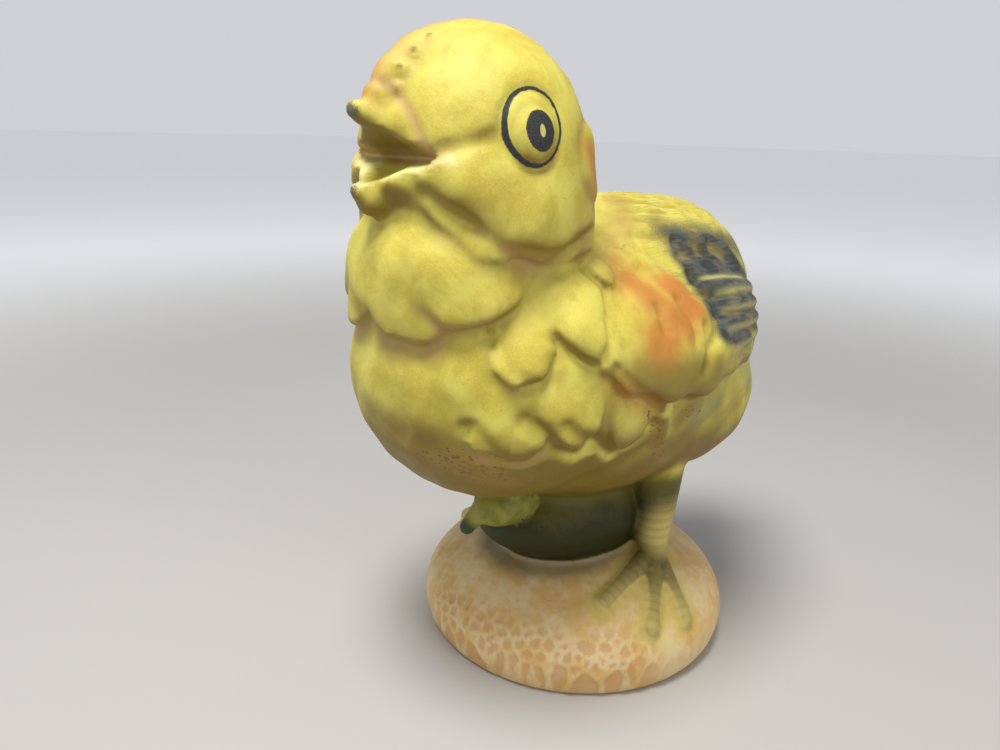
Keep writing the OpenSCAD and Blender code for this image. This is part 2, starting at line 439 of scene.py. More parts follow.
def surface_net(v, lo, h):
    """Vertices and outward quads of the surface v = 0 of a sampled distance."""
    n = np.array(v.shape)
    total, count = np.zeros((*(n - 1), 3), F32), np.zeros(n - 1, F32)
    edges = []
    for axis in range(3):
        low, high = [slice(None)] * 3, [slice(None)] * 3
        low[axis], high[axis] = slice(0, -1), slice(1, None)
        a, b = v[tuple(low)], v[tuple(high)]
        crossed = (a < 0) != (b < 0)
        t = np.where(crossed, a / np.where(crossed, a - b, 1), 0)
        o1, o2 = (axis + 1) % 3, (axis + 2) % 3
        for s1, s2 in ((0, 0), (1, 0), (0, 1), (1, 1)):
            part = [slice(None)] * 3
            part[o1], part[o2] = slice(s1, n[o1] - 1 + s1), slice(s2, n[o2] - 1 + s2)
            c = crossed[tuple(part)]
            count += c
            total[..., axis] += t[tuple(part)]
            total[..., o1] += c * s1
            total[..., o2] += c * s2
        edges.append((axis, o1, o2, np.argwhere(crossed), a[crossed] < 0))
    used = count > 0
    index = np.full(n - 1, -1)
    index[used] = np.arange(used.sum())
    points = lo + h * (np.argwhere(used) + total[used] / count[used, None])
    quads = []
    for axis, o1, o2, at, rising in edges:
        e1, e2 = np.eye(3, dtype=int)[o1], np.eye(3, dtype=int)[o2]
        q = np.stack([index[tuple((at - s).T)] for s in (0 * e1, e1, e1 + e2, e2)], 1)
        quads.append(np.where(rising[:, None], q, q[:, ::-1]))
    return points.astype(F32), np.concatenate(quads)


def slopes(f, p, e=0.25):
    """The gradient of f at each point, by central differences."""
    return np.stack([f(p + e * a) - f(p - e * a) for a in np.eye(3, dtype=F32)], 1) / (2 * e)


def settled(f, p, steps):
    for _ in range(steps):
        g = slopes(f, p)
        move = f(p)[:, None] * g / np.maximum((g * g).sum(1), 0.3)[:, None]
        p = p - np.clip(move, -0.6, 0.6)
    return p.astype(F32)

# %% Outside and hollow
GRID, HOLLOW_GRID = 1.0, 3.0
WALL, FLOOR_TOP = 2.4, 6.0
DETAIL_REACH = 12.0     # mm from the big masses within which the details are worked out
LOW, HIGH = vec(-47.1, -73.2, -2.3), vec(47.2, 73.2, 167.6)


def near_skin(p):
    """The whole skin's distance, without its details where they are too far away to matter."""
    d = masses(p)
    near = np.abs(d) < DETAIL_REACH
    d[near] = detail(p[near], d[near])
    return d


def hollow(p):
    """The space inside: a wall's thickness below the smooth masses and below the finished skin,
    so that the beak, tail and legs are solid and the floor is flat."""
    d = masses(p)
    d = cut(d + WALL, near_skin(p) + WALL - 0.2, 1.0)
    return np.maximum(d, FLOOR_TOP - p[:, 2])


points, quads = surface_net(sampled(near_skin, LOW, HIGH, GRID), LOW, GRID)
points = settled(skin, points, 2)
inner_points, inner_quads = surface_net(sampled(hollow, LOW, HIGH, HOLLOW_GRID), LOW, HOLLOW_GRID)
inner_points = settled(hollow, inner_points, 2)
print("outside:", len(points), "points", len(quads), "quads; hollow:", len(inner_quads), "quads;",
      round(time.time() - START, 1), "s")

# %% [markdown]
# ## Opening in the foot
#
# Under the foot there is a shallow round recess and a hole that the plug's neck fills. Their edges
# are crisp circles, which a grid can't give, so they are cut with a turned shape instead.

# %% Skin mesh
def mesh_of(name, points, faces):
    mesh = bpy.data.meshes.new(name)
    mesh.from_pydata((points * MM).tolist(), [], faces.tolist())
    mesh.update()
    return mesh


def turned(name, profile, steps):
    """A closed turned solid: the profile's points (radius, height), from the axis to the axis."""
    profile = np.array(profile, F32)
    a = np.linspace(0, 2 * np.pi, steps, endpoint=False)
    ring = profile[1:-1]
    p = np.stack([ring[:, None, 0] * np.cos(a), ring[:, None, 0] * np.sin(a),
                  np.repeat(ring[:, 1:], steps, 1)], 2).reshape(-1, 3)
    i, j = np.meshgrid(np.arange(len(ring) - 1), np.arange(steps), indexing="ij")
    here, there = i * steps + j, i * steps + (j + 1) % steps
    walls = np.stack([here, there, there + steps, here + steps], -1).reshape(-1, 4).tolist()
    j, last = np.arange(steps), (len(ring) - 1) * steps
    foot = np.stack([(j + 1) % steps, j, np.full(steps, len(p))], 1).tolist()
    top = np.stack([last + j, last + (j + 1) % steps, np.full(steps, len(p) + 1)], 1).tolist()
    ends = [(0, 0, profile[0, 1]), (0, 0, profile[-1, 1])]
    mesh = bpy.data.meshes.new(name)
    mesh.from_pydata((np.concatenate([p, ends]) * MM).tolist(), [], walls + foot + top)
    mesh.update()
    return mesh


RECESS_R, RECESS_H, HOLE_R = 28.0, 2.5, 15.0
EDGE_R = 1.2
lip = [(RECESS_R + EDGE_R * (1 - np.sin(t)), EDGE_R * (1 - np.cos(t)))
       for t in np.linspace(0, np.pi / 2, 6)]
cutter = bpy.data.objects.new("cutter", turned("cutter", [
    (0, -3), (RECESS_R + EDGE_R, -3), *lip, (RECESS_R, RECESS_H - 0.3), (RECESS_R - 0.3, RECESS_H),
    (HOLE_R, RECESS_H), (HOLE_R, FLOOR_TOP + 3), (0, FLOOR_TOP + 3)], 144))
both = np.concatenate([quads, inner_quads[:, ::-1] + len(points)])
skin_mesh = mesh_of("skin", np.concatenate([points, inner_points]), both)
skin_obj = bpy.data.objects.new("skin", skin_mesh)
for o in (skin_obj, cutter):
    bpy.context.scene.collection.objects.link(o)
cutting = skin_obj.modifiers.new("cut", "BOOLEAN")
cutting.operation, cutting.solver, cutting.object = "DIFFERENCE", "EXACT", cutter
depsgraph = bpy.context.evaluated_depsgraph_get()
opened = bpy.data.meshes.new_from_object(skin_obj.evaluated_get(depsgraph))
skin_obj.modifiers.clear()
skin_obj.data = opened
bpy.data.objects.remove(cutter)
opened.name = "skin"
print("skin:", len(opened.vertices), "points", sum(len(f.vertices) - 2 for f in opened.polygons),
      "triangles;", round(time.time() - START, 1), "s")

# %% [markdown]
# ## Dimples on the mound
#
# The mound is textured with shallow dimples, each in a ring of low ridges. Its surface is shared
# out between scattered points: a vertex is in the dimple of its nearest point, and the difference
# between its distances to the nearest and the second nearest point is 0 on the ridge between two
# dimples. Vertices are pushed in along their normals by a smooth step of that difference.

# %% Dimples
def positions(mesh):
    out = np.empty(len(mesh.vertices) * 3, F32)
    mesh.vertices.foreach_get("co", out)
    return out.reshape(-1, 3)


def normals(mesh):
    out = np.empty(len(mesh.vertices) * 3, F32)
    mesh.vertex_normals.foreach_get("vector", out)
    return out.reshape(-1, 3)


P, N = positions(opened) / MM, normals(opened)
crease = np.clip(np.maximum(1 - skin(P + 2.5 * N) / 2.5, 1.2 * (1 - skin(P + N))), 0, 1)
worn = np.clip(1 + skin(P - 3.0 * N) / 3.0, 0, 1)
SEED, DIMPLES = 7, 640
rng = np.random.default_rng(SEED)
at = np.arange(DIMPLES) + 0.5
z = 1 - at / len(at)
turnings = at * np.pi * (3 - 5 ** 0.5)
level = np.sqrt(1 - z * z)
dimples = np.stack([level * np.cos(turnings), level * np.sin(turnings), z], 1)
dimples = (dimples * MOUND[1] + MOUND[0] + rng.normal(0, 0.8, dimples.shape)).astype(F32)
on_mound = np.flatnonzero((np.abs(mound(P)) < 0.6) & (P[:, 2] > 0.3))
ridge = np.ones(len(P), F32)
for part in np.array_split(on_mound, 12):
    apart = np.linalg.norm(P[part, None] - dimples[None], axis=2)
    nearest = np.partition(apart, 1, axis=1)[:, :2]
    ridge[part] = 1 - ramp(nearest[:, 1] - nearest[:, 0], 0.2, 1.6)
front = ramp(-P[:, 1], 0, 20) * ramp(P[:, 2], 21, 12) * ramp(P[:, 0], -24, -2)
depth = (1 - ridge) * (0.12 + 0.5 * front) * ramp(P[:, 2], 0.5, 4)
P = P - N * depth[:, None]
opened.vertices.foreach_set("co", (P * MM).astype(F32).ravel())
opened.update()
print("dimples on", len(on_mound), "vertices")

# %% [markdown]
# ## Where the paint goes
#
# The factory sprayed each colour through a mask or by eye, so its edges are soft. Each spray is a
# number from 0 to 1 at every vertex: it falls off with the distance from a line or a point, as
# exp(-(distance / radius)^2). How deep in a crease a vertex lies, and how far it stands out, come
# from the distance function itself: in the open, a step outwards by t adds t to the distance, but
# in a crease it adds less.
#
# Five of these masks aren't factory paint but painted light. "under" and "shade" are painted shade:
# they darken undersides and the parts below a bulge, "under" in brown on whatever faces down and
# "shade" under the wing's lower edge, the cheek and the beak. "bright" is a painted highlight that
# lightens the top of the lower beak, as light from above does anyway. The spray along the back of
# the cheek and the nape is painted shade as well, and "halo" is a painted shadow on the mound round
# the undergrowth. They suit one light, and in another they would look like paint.

# %% Sprays and wear as attributes
opened.shade_smooth()
M = both_sides(P)
N = normals(opened)


def spray(points, line, radius):
    """exp(-(distance to a chain of points / radius)^2)."""
    line = line if len(line) > 1 else line * 2
    return np.exp(-(to_line(points, line) / radius) ** 2)


def most(*masks):
    return np.clip(np.max(masks, axis=0), 0, 1)


ground = mound(P)
bare = ((P[:, 2] < FLOOR_TOP) & (np.hypot(P[:, 0], P[:, 1]) < RECESS_R + 2)).astype(F32)
leg_line = [(21, 17, 56), ANKLE]
toes = [spray(M, [ANKLE, tip], 4.2) for tip in TOE_TIPS]
feet = most(*toes, spray(M, leg_line, 7.0) * (M[:, 0] > 15))
above_tongue = beyond(P, TONGUE_EDGE, 1)
feather_at = [f.local(M) for f in feathers]
low = ramp(P[:, 2], 58, 46)
along = np.where(P[:, 2] > 29, P[:, 2] - 29, -np.linalg.norm(M - vec(*ANKLE), axis=1))
masks = {
    "crease": crease,
    "worn": worn,
    "bare": bare,
    "ridge": ridge,
    "net": front,
    "blush": most(spray(M, [(31, -1, 107), (36, 2, 103), (39, -3, 99)], 6.5),
                  0.9 * spray(M, [(28, -12, 108), (37.5, -7, 101), (40.5, -13, 96)], 8.0),
                  0.35 * spray(M, [(22, -10, 113), (28, -14, 110)], 6.5),
                  0.9 * spray(M, [(26, -23, 137), (26, -21, 131)], 5.5),
                  0.55 * spray(M, [(39.5, -27, 88), (38, -18, 82), (37, -12, 78)], 4.5)),
    "crest": most(spray(P, [(-3.5, -64, 147), (-3.5, -60, 152), (-3.5, -54, 157),
                            (-3, -46, 160.5), (0, -34, 163)], 6.5),
                  0.5 * spray(P, CREST, 6.0)) * ramp(N[:, 2], -0.5, 0.0),
    # painted shade under the wing's lower edge, the cheek and the beak
    "shade": most(spray(M, [(41, -21, 90), (42.5, -8, 87), (41, 6, 86)], 6.0),
                  0.5 * spray(M, [(27, -50, 113), (26, -46, 111)], 3.0),
                  0.8 * ramp(P[:, 1], -60, -64) * ramp(-N[:, 2], 0.25, 0.7)
                  * ramp(P[:, 2], 118, 122)),
    # a painted highlight on the top of the lower beak
    "bright": ramp(P[:, 1], -57, -58.5) * ramp(above_tongue, -1.8, -1.0)
              * ramp(above_tongue, 1.0, 0.4) * ramp(N[:, 2], 0.2, 0.5) * ramp(P[:, 2], 127, 129),
    "rib": np.max([np.exp(-((y - 2.9) / 0.8) ** 2) * np.exp(-(x / 15) ** 4) * (np.abs(z) < 7)
                   for x, y, z in feather_at], axis=0) * ramp(P[:, 1], 12, 16),
    # painted shade below the back of the cheek and along the nape
    "grime": most(0.8 * spray(M, [(27, -26, 118), (25, -18, 114), (18, -6, 119), (8, 2, 125)], 6.0),
                  0.5 * spray(M, [(29, -27, 128), (27, -22, 122)], 4.0)),
    "streaky": ramp(P[:, 1], -8, 8) * ramp(P[:, 2], 96, 108),
    "slate": most(spray(M, [(23, 13, 114), (27, 14, 110), (32, 14, 106)], 6.5),
                  spray(M, [(24, 20, 112), (30, 22, 108)], 6.0),
                  spray(M, [(22, 27, 112), (25, 36, 107)], 7.0),
                  spray(M, [(33, 16, 105), (31, 30, 104), (25, 44, 101)], 6.5),
                  spray(M, [(36, 14, 102), (37, 30, 98), (32, 42, 95)], 6.5),
                  0.85 * spray(M, [(40, 13, 96), (39, 26, 92)], 5.0),
                  0.35 * spray(M, [(40, 16, 90), (37, 34, 86), (28, 48, 88)], 6.0),
                  0.55 * spray(M, [(20, 8, 117), (19, 34, 113), (12, 52, 104)], 7.0)),
    "moss": most(0.55 * spray(M, [(35, 18, 73), (35, 10, 72)], 6.0),
                 0.6 * spray(M, [(32, 36, 79), (30, 40, 74)], 6.0),
                 0.4 * spray(M, [(36, 8, 80), (34, 30, 82)], 5.0)),
    "nest": low * ramp(ground, 0.3, 1.6),
    "sand": ramp(ground, 3.0, 1.0) * (1 - feet),
    # nearness to the undergrowth: a painted shadow on the mound, and where it is glossy
    "halo": np.exp(-np.maximum(0, mass(P, (0, -2, 34), (23, 29, 16))) / 5.0),
    # painted brown shade on whatever faces down
    "under": ramp(-N[:, 2], -0.30, 0.60) * ramp(P[:, 2], 44, 50),
    "feet": feet * low,
    "along": along,
    "lip": most(spray(M, [(1, -64.5, 151), (4.5, -62.7, 149), (8.7, -61.7, 144.6),
                          (12, -61.4, 140), (13, -60, 136.5)], 1.3),
                0.5 * spray(M, [(13, -60, 136), (18, -59, 136)], 2.2)),
    "beak": ramp(P[:, 1], -57, -60) * ramp(P[:, 2], 125, 128) * ramp(P[:, 2], 152, 149),
    "pit": most(*[spray(M, [k], 1.3) for k in
                  ((4.6, -61.2, 153.4), (4.4, -57.8, 157), (4.0, -53.4, 159.8),
                   (4.8, -63.4, 149.4))]),
    "chip": most(spray(P, [(0.5, -70.5, 144.4)], 2.6), 0.7 * spray(P, [(0, -70.0, 128.8)], 1.6)),
    "leaf": ramp(leaf(P), 1.2, 0.2) * ramp(P[:, 2], 58, 54),
    "tip": spray(P, [(3.5, -42, 41)], 3.6),
    "soil": most(spray(P, [(14, -59, 71), (22.6, -55, 71), (24.8, -50, 68)], 4.5),
                 0.8 * spray(P, [(18, -55, 66), (25, -46, 64)], 4.0),
                 0.9 * spray(M, [(37, -12, 78), (35, -6, 72), (33, -3, 66), (30, 3, 60)], 3.2),
                 0.8 * spray(M, [(36, 4, 74), (35, 10, 73)], 3.0), 0.25 * ramp(P[:, 2], 70, 52)),
}
for name, mask in masks.items():
    attribute = opened.attributes.new(name, "FLOAT", "POINT")
    attribute.data.foreach_set("value", mask.astype(F32))
print("attributes:", ", ".join(masks), round(time.time() - START, 1), "s")

# %% [markdown]
# ## Materials
#
# Small helpers first. A graph adds nodes by kind, and every input may be a number, a colour or
# another node's output. Colours are written as screen values from 0 to 255 and turned into linear
# light. The effects that several materials share are node groups, which put out only masks,
# heights and colours; each material keeps its own Principled shader.

# %% Node helpers
def paint(r, g, b):
    """Screen colour to linear light: ((c + 0.055) / 1.055)^2.4 for each channel c."""
    c = np.array([r, g, b]) / 255
    c = np.where(c <= 0.04045, c / 12.92, ((c + 0.055) / 1.055) ** 2.4)
    return (*[float(v) for v in c], 1.0)


class Graph:
    def __init__(self, tree):
        self.tree = tree

    def new(self, kind, inputs=(), **settings):
        n = self.tree.nodes.new(kind)
        for key, value in settings.items():
            setattr(n, key, value)
        for key, value in dict(inputs).items():
            self.set(n.inputs[key], value)
        return n

    def set(self, socket, value):
        if isinstance(value, bpy.types.NodeSocket):
            self.tree.links.new(value, socket)
        else:
            socket.default_value = value

    def math(self, op, a, b=0.5, c=0.5, clamp=False):
        inputs = {0: a, 1: b, 2: c}
        return self.new("ShaderNodeMath", inputs, operation=op, use_clamp=clamp).outputs[0]

    def times(self, a, b):
        return self.math("MULTIPLY", a, b)

    def plus(self, a, b):
        return self.math("ADD", a, b)

    def less(self, a, b):
        return self.math("SUBTRACT", a, b)

    def vector(self, op, a, b):
        return self.new("ShaderNodeVectorMath", {0: a, 1: b}, operation=op).outputs[0]

    def dot(self, a, b):
        n = self.new("ShaderNodeVectorMath", {0: a, 1: b}, operation="DOT_PRODUCT")
        return n.outputs["Value"]

    def step(self, value, lo, hi, a=0.0, b=1.0):
        return self.new("ShaderNodeMapRange", {0: value, 1: lo, 2: hi, 3: a, 4: b},
                        interpolation_type="SMOOTHSTEP").outputs[0]

    def mix(self, factor, a, b):
        return self.new("ShaderNodeMix", {0: factor, 6: a, 7: b}, data_type="RGBA").outputs[2]

    def noise(self, vector, scale, detail=3.0, rough=0.5, distortion=0.0):
        inputs = {"Vector": vector, "Scale": scale, "Detail": detail, "Roughness": rough,
                  "Distortion": distortion}
        return self.new("ShaderNodeTexNoise", inputs).outputs["Fac"]

    def cells(self, vector, scale, feature="F1"):
        inputs = {"Vector": vector, "Scale": scale, "Randomness": 1.0}
        return self.new("ShaderNodeTexVoronoi", inputs, feature=feature).outputs["Distance"]

    def mask(self, name):
        return self.new("ShaderNodeAttribute", attribute_name=name).outputs["Fac"]

    def bump(self, height, distance, strength):
        inputs = {"Height": height, "Distance": distance, "Strength": strength}
        return self.new("ShaderNodeBump", inputs).outputs["Normal"]

    def use(self, group, inputs):
        n = self.new("ShaderNodeGroup", node_tree=group)
        for key, value in inputs.items():
            self.set(n.inputs[key], value)
        return n.outputs


def shared(name, takes, gives, build):
    """A node group with the sockets `takes` and `gives` (name: kind), filled in by build."""
    tree = bpy.data.node_groups.new(name, "ShaderNodeTree")
    for key, kind in takes.items():
        tree.interface.new_socket(key, in_out="INPUT", socket_type="NodeSocket" + kind)
    for key, kind in gives.items():
        tree.interface.new_socket(key, in_out="OUTPUT", socket_type="NodeSocket" + kind)
    g = Graph(tree)
    results = build(g, g.new("NodeGroupInput").outputs)
    end = g.new("NodeGroupOutput")
    for key, value in results.items():
        g.set(end.inputs[key], value)
    return tree


def material(name):
    m = bpy.data.materials.new(name)
    m.use_nodes = True
    m.node_tree.nodes.clear()
    g = Graph(m.node_tree)
    coords = g.new("ShaderNodeTexCoord").outputs["Object"]
    return m, g, g.vector("MULTIPLY", coords, (1 / MM,) * 3)


def finish_material(g, **inputs):
    shader = g.new("ShaderNodeBsdfPrincipled", {k.replace("_", " "): v for k, v in inputs.items()})
    g.new("ShaderNodeOutputMaterial", {"Surface": shader.outputs[0]})


# %% Shared effects
def build_speckle(g, i):
    spots = g.cells(i["Vector"], 0.85)
    patches = g.noise(i["Vector"], 0.45, 4, 0.65)
    size = g.times(g.step(g.plus(patches, g.times(i["Amount"], 0.40)), 0.62, 1.0), 0.50)
    return {"Mask": g.step(g.less(spots, size), 0.04, -0.06)}


def build_matt(g, i):
    grain = g.noise(i["Vector"], 3.2, 4, 0.6)
    fine = g.noise(i["Vector"], 9.0, 2, 0.6)
    waves = g.noise(i["Vector"], 0.22, 3, 0.5)
    height = g.plus(g.times(waves, 0.6), g.plus(g.times(grain, 0.10), g.times(fine, 0.045)))
    return {"Height": height, "Mottle": g.plus(g.times(grain, 0.6), g.times(fine, 0.4))}


def build_metal(g, i):
    drawn = g.vector("MULTIPLY", i["Vector"], i["Stretch"])
    lines = g.noise(drawn, 3.0, 4, 0.7)
    stain = g.noise(i["Vector"], 0.45, 5, 0.6)
    spots = g.step(g.noise(i["Vector"], 1.6, 3, 0.6), 0.60, 0.72)
    tarnish = g.math("ADD", g.step(stain, 0.40, 0.68), g.times(spots, 0.6), clamp=True)
    height = g.less(g.times(lines, 0.5), g.times(spots, 0.4))
    return {"Tarnish": tarnish, "Lines": lines, "Height": height}


speckle = shared("speckle", {"Vector": "Vector", "Amount": "Float"}, {"Mask": "Float"},
                 build_speckle)
matt = shared("matt rubber", {"Vector": "Vector"}, {"Height": "Float", "Mottle": "Float"},
              build_matt)
metal = shared("worn metal", {"Vector": "Vector", "Stretch": "Vector"},
               {"Tarnish": "Float", "Lines": "Float", "Height": "Float"}, build_metal)

# %% [markdown]
# ## Painted rubber
#
# The colours go on in the order in which the factory sprayed them: yellow first, then orange,
# grey and green, then the mound, then the eyes, which were printed and so have exact edges. Painted
# shade and a painted highlight go onto the yellow before the other colours, and painted olive shade
# into the creases after the grey. Age comes last: pinkish dirt in the creases, grey rubbed off the
# high spots, brown spots and hairline cracks. `layer` lays one colour over the colours below it.

# %% Skin material
def in_socket(g, at):
    """Distances in mm across and up the eye's socket, for whichever side the point is on."""
    mirrored = g.vector("ABSOLUTE", at, (0, 0, 0))
    x, y, z = [g.new("ShaderNodeSeparateXYZ", {0: v}).outputs for v in (mirrored, at, at)]
    m = g.new("ShaderNodeCombineXYZ", {0: x[0], 1: y[1], 2: z[2]}).outputs[0]
    q = g.vector("SUBTRACT", m, tuple(float(v) for v in socket.c))
    return [g.dot(q, tuple(float(v) for v in axis)) for axis in (socket.u, socket.v, socket.n)]


def eye_oval(g, at, centre, half, tilt=0.0):
    """How far outside an oval on the eye a point is, in mm, roughly: (length(q / half) - 1) times
    the smaller half size."""
    c, s = float(np.cos(np.radians(tilt))), float(np.sin(np.radians(tilt)))
    x, y = g.less(at[0], centre[0]), g.less(at[1], centre[1])
    a = g.math("DIVIDE", g.less(g.times(x, c), g.times(y, s)), half[0])
    b = g.math("DIVIDE", g.plus(g.times(x, s), g.times(y, c)), half[1])
    r = g.math("SQRT", g.plus(g.times(a, a), g.times(b, b)))
    return g.times(g.less(r, 1.0), min(half))


skin_mat, g, at = material("painted_rubber")
surface = g.use(matt, {"Vector": at})
mottle = surface["Mottle"]
patchy = g.noise(at, 0.12, 5, 0.6, 0.3)
break_up = g.plus(g.times(g.less(mottle, 0.5), 0.9), g.times(g.less(patchy, 0.5), 0.6))
in_beak = g.less(1.0, g.times(g.mask("beak"), 0.8))


def rough_edged(name, amount):
    """A mask with its edge broken up by the paint's own unevenness."""
    return g.plus(g.mask(name), g.times(break_up, amount))


def sprayed(name, lo=0.15, hi=0.75, rough=1.0):
    return g.step(rough_edged(name, rough), lo, hi)


def layer(below, factor, strength, over):
    """The colour `over` laid on `below`: below + factor * strength * (over - below)."""
    return g.mix(g.times(factor, strength), below, over)


crease_mask = g.mask("crease")
worn_mask = g.mask("worn")
colour = g.mix(g.step(patchy, 0.36, 0.66), paint(220, 208, 94), paint(202, 182, 66))
colour = layer(colour, g.step(mottle, 0.42, 0.68), 0.55, paint(232, 224, 118))
streak = g.noise(g.vector("MULTIPLY", at, (1.3, 0.12, 1.3)), 1.0, 4, 0.6)
streaks = g.times(g.mask("streaky"), g.step(streak, 0.48, 0.66))
colour = layer(colour, streaks, 0.55, paint(150, 142, 84))
# Painted shade: pinkish brown below the back of the cheek and along the nape, where the head
# overhangs.
colour = layer(colour, sprayed("grime", 0.1, 1.0), 0.6, paint(170, 132, 84))
# Painted shade: brown on whatever faces down, above the undergrowth.
below = g.step(rough_edged("under", 0.5), 0.05, 1.0)
colour = layer(colour, below, 0.9, paint(116, 88, 28))
# Painted shade: olive brown under the wing's lower edge, the cheek and the beak.
colour = layer(colour, g.step(g.mask("shade"), 0.1, 1.0), 0.75, paint(126, 102, 36))
# Painted highlight: cream on the top of the lower beak.
colour = layer(colour, g.mask("bright"), 0.7, paint(250, 244, 176))
colour = layer(colour, sprayed("moss", 0.2, 0.9), 0.8, paint(140, 148, 110))
colour = layer(colour, sprayed("blush", 0.08, 1.05, 0.7), 0.85, paint(196, 112, 54))
colour = layer(colour, sprayed("crest", 0.08, 0.9, 0.5), 0.85, paint(212, 138, 88))
slate = sprayed("slate", 0.15, 0.60, 0.7)
rubbed = g.times(g.step(worn_mask, 0.16, 0.34), g.step(mottle, 0.40, 0.58))
patchy_streaks = g.plus(g.times(patchy, 0.5), g.times(streak, 0.5))
slate_colour = g.mix(g.step(patchy_streaks, 0.42, 0.60), paint(60, 62, 62), paint(100, 102, 94))
colour = g.mix(g.times(slate, g.less(1.0, g.times(rubbed, 0.35))), colour, slate_colour)
ribs = g.times(g.times(g.mask("rib"), slate), g.step(mottle, 0.30, 0.50, 0.35, 0.8))
colour = g.mix(ribs, colour, paint(206, 198, 124))
# Painted shade: olive darkening in the creases, the more the deeper the crease.
painted_crease_shade = g.times(g.step(g.plus(crease_mask, g.times(break_up, 0.3)), 0.08, 0.55), 0.55)
colour = g.mix(painted_crease_shade, colour, paint(168, 150, 62))
deep_crease = g.step(g.plus(crease_mask, g.times(break_up, 0.35)), 0.36, 0.80)
crease_dirt = g.times(g.times(deep_crease, 0.6), in_beak)
colour = g.mix(crease_dirt, colour, paint(172, 132, 96))
colour = layer(colour, g.mask("lip"), 0.5, paint(214, 168, 130))

dimple = g.step(rough_edged("ridge", 0.7), 0.85, 0.1)
sand_colour = g.mix(g.step(patchy, 0.36, 0.64), paint(236, 212, 160), paint(228, 188, 116))
dimple = g.times(dimple, g.step(g.mask("net"), 0.0, 0.8, 0.12, 0.6))
sand_colour = g.mix(dimple, sand_colour, paint(212, 156, 100))
# Painted shadow: grey brown on the mound round the undergrowth, under the belly.
halo = g.step(rough_edged("halo", 0.3), 0.30, 1.05)
sand_colour = layer(sand_colour, halo, 0.75, paint(112, 104, 76))
colour = g.mix(g.mask("sand"), colour, sand_colour)

high = g.step(g.new("ShaderNodeSeparateXYZ", {0: at}).outputs[2], 33.0, 52.0)
high = g.step(g.plus(high, g.times(break_up, 1.2)), 0.2, 1.0)
nest_colour = g.mix(high, paint(44, 47, 12), paint(104, 96, 34))
colour = g.mix(g.step(rough_edged("nest", 0.3), 0.35, 0.9), colour, nest_colour)
rings = g.math("SINE", g.plus(g.times(g.mask("along"), 2.4), g.times(break_up, 2.0)))
feet_colour = layer(paint(212, 190, 112), g.step(rings, -0.2, 0.9), 0.28, paint(160, 148, 80))
colour = g.mix(g.step(rough_edged("feet", 0.3), 0.35, 0.85), colour,
               g.mix(g.step(g.mask("along"), 9.0, 19.0), feet_colour, paint(74, 78, 30)))
leaf_colour = g.mix(g.step(patchy, 0.4, 0.6), paint(112, 116, 42), paint(150, 144, 62))
colour = g.mix(g.mask("leaf"), colour, leaf_colour)
colour = g.mix(g.step(g.mask("tip"), 0.2, 0.7), colour, paint(52, 72, 44))

eye_at = in_socket(g, at)
wobble = g.times(g.less(g.noise(at, 0.9, 2), 0.5), 0.35)
PRINT_EDGE = 0.10       # half of the width in mm over which the ink's edge fades
facing = g.step(eye_at[2], -6.0, -4.0)
outer = g.plus(eye_oval(g, eye_at, (0.5, 0.6), (7.2, 8.2)), wobble)
inner = g.plus(eye_oval(g, eye_at, (0.75, 0.65), (6.4, 7.4)), wobble)
pupil = g.plus(eye_oval(g, eye_at, (1.3, -0.4), (3.6, 4.2), -8), g.times(wobble, 1.2))
glint = eye_oval(g, eye_at, (1.6, -0.4), (0.7, 1.3), -8)
ink = g.mix(g.step(mottle, 0.35, 0.7), paint(34, 36, 38), paint(78, 80, 78))
ring = g.times(g.step(outer, PRINT_EDGE, -PRINT_EDGE), g.step(inner, -PRINT_EDGE, PRINT_EDGE))
colour = g.mix(g.times(g.times(ring, facing), g.step(mottle, 0.16, 0.30)), colour, ink)
colour = g.mix(g.times(g.step(pupil, PRINT_EDGE, -PRINT_EDGE), facing), colour, ink)
glint = g.times(g.step(glint, PRINT_EDGE, -PRINT_EDGE), facing)
colour = g.mix(glint, colour, paint(214, 206, 120))

spots = g.use(speckle, {"Vector": at, "Amount": g.mask("soil")})["Mask"]
colour = g.mix(g.times(spots, g.step(g.mask("soil"), 0.05, 0.6)), colour, paint(96, 58, 34))
colour = layer(colour, g.step(rough_edged("soil", 0.4), 0.3, 1.2), 0.5, paint(168, 134, 62))
colour = layer(colour, g.step(g.plus(g.mask("pit"), break_up), 0.45, 0.9), 0.8, paint(128, 112, 66))
colour = layer(colour, g.step(rough_edged("chip", 1.4), 0.40, 0.62), 0.9, paint(98, 96, 78))
bare_colour = g.mix(g.step(patchy, 0.4, 0.6), paint(186, 164, 124), paint(150, 128, 92))
colour = g.mix(g.mask("bare"), colour, bare_colour)

bent = g.new("ShaderNodeTexNoise", {"Vector": at, "Scale": 0.4, "Detail": 3.0}).outputs["Color"]
bent_at = g.new("ShaderNodeVectorMath", {0: bent, 1: (5.0,) * 3, 2: at},
                operation="MULTIPLY_ADD").outputs[0]
cracks = g.cells(bent_at, 0.10, "DISTANCE_TO_EDGE")
crack = g.times(g.step(cracks, 0.010, 0.003), g.step(g.noise(at, 0.05, 2), 0.60, 0.72))
colour = layer(colour, crack, 0.4, paint(150, 122, 66))

ring_height = g.times(g.step(g.mask("feet"), 0.35, 0.75), g.times(rings, 0.10))
height = g.plus(surface["Height"], ring_height)
height = g.less(height, g.times(crack, 0.4))
shiny = g.times(g.mask("sand"), g.step(g.plus(g.mask("halo"), g.less(patchy, 0.5)), 0.25, 0.6))
rough = g.plus(g.less(0.50, g.times(shiny, 0.22)), g.times(g.less(mottle, 0.5), 0.35))
finish_material(g, Base_Color=colour, Roughness=rough, IOR=1.45, Specular_IOR_Level=0.35,
                Normal=g.bump(height, 0.001, 0.55))

